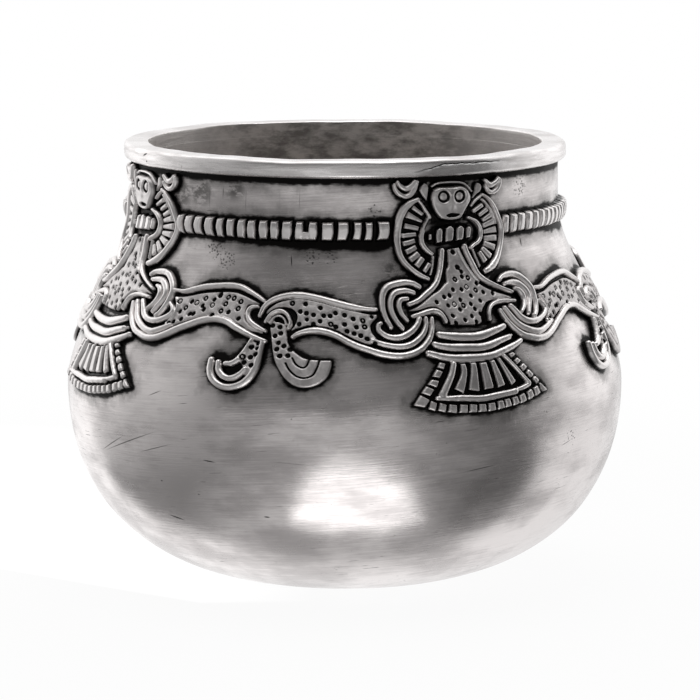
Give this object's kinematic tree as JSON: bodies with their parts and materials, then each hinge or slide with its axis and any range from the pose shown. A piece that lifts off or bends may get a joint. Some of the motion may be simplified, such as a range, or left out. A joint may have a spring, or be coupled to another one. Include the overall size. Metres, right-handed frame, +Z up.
{
  "type": "ritual bowl",
  "caption": "Round-bellied metal bowl with a short neck and a flat rim band, dressed with a rope moulding, masked figures and dotted ribbon garlands in relief.",
  "frame": {"origin": "middle of the flat base, on the surface the bowl stands on", "axes": "+Z up through the mouth; -Y is the side seen in the picture, +X to its right"},
  "size_m": [0.11, 0.11, 0.087],
  "materials": {
    "wall_silver": "satin silver with fine scratches and dark patina near the ornament",
    "rim_silver": "polished silver band with worn edges",
    "relief_silver": "cast silver relief, bright on its faces and black in its grooves"
  },
  "bodies": {
    "root": {"bowl_body": "wall_silver", "rim_band": "rim_silver", "rope_moulding_1": "relief_silver", "rope_moulding_2": "relief_silver", "rope_moulding_3": "relief_silver", "rope_moulding_4": "relief_silver", "mask_1": "relief_silver", "mask_2": "relief_silver", "mask_3": "relief_silver", "mask_4": "relief_silver", "drop_left_1": "relief_silver", "drop_left_2": "relief_silver", "drop_left_3": "relief_silver", "drop_left_4": "relief_silver", "drop_right_1": "relief_silver", "drop_right_2": "relief_silver", "drop_right_3": "relief_silver", "drop_right_4": "relief_silver", "crescent_left_1": "relief_silver", "crescent_left_2": "relief_silver", "crescent_left_3": "relief_silver", "crescent_left_4": "relief_silver", "crescent_right_1": "relief_silver", "crescent_right_2": "relief_silver", "crescent_right_3": "relief_silver", "crescent_right_4": "relief_silver", "wing_left_1": "relief_silver", "wing_left_2": "relief_silver", "wing_left_3": "relief_silver", "wing_left_4": "relief_silver", "wing_right_1": "relief_silver", "wing_right_2": "relief_silver", "wing_right_3": "relief_silver", "wing_right_4": "relief_silver", "throat_1": "relief_silver", "throat_2": "relief_silver", "throat_3": "relief_silver", "throat_4": "relief_silver", "torso_1": "relief_silver", "torso_2": "relief_silver", "torso_3": "relief_silver", "torso_4": "relief_silver", "skirt_1": "relief_silver", "skirt_2": "relief_silver", "skirt_3": "relief_silver", "skirt_4": "relief_silver", "garland_left_1": "relief_silver", "garland_left_2": "relief_silver", "garland_left_3": "relief_silver", "garland_left_4": "relief_silver", "garland_right_1": "relief_silver", "garland_right_2": "relief_silver", "garland_right_3": "relief_silver", "garland_right_4": "relief_silver"}
  },
  "joints": []
}
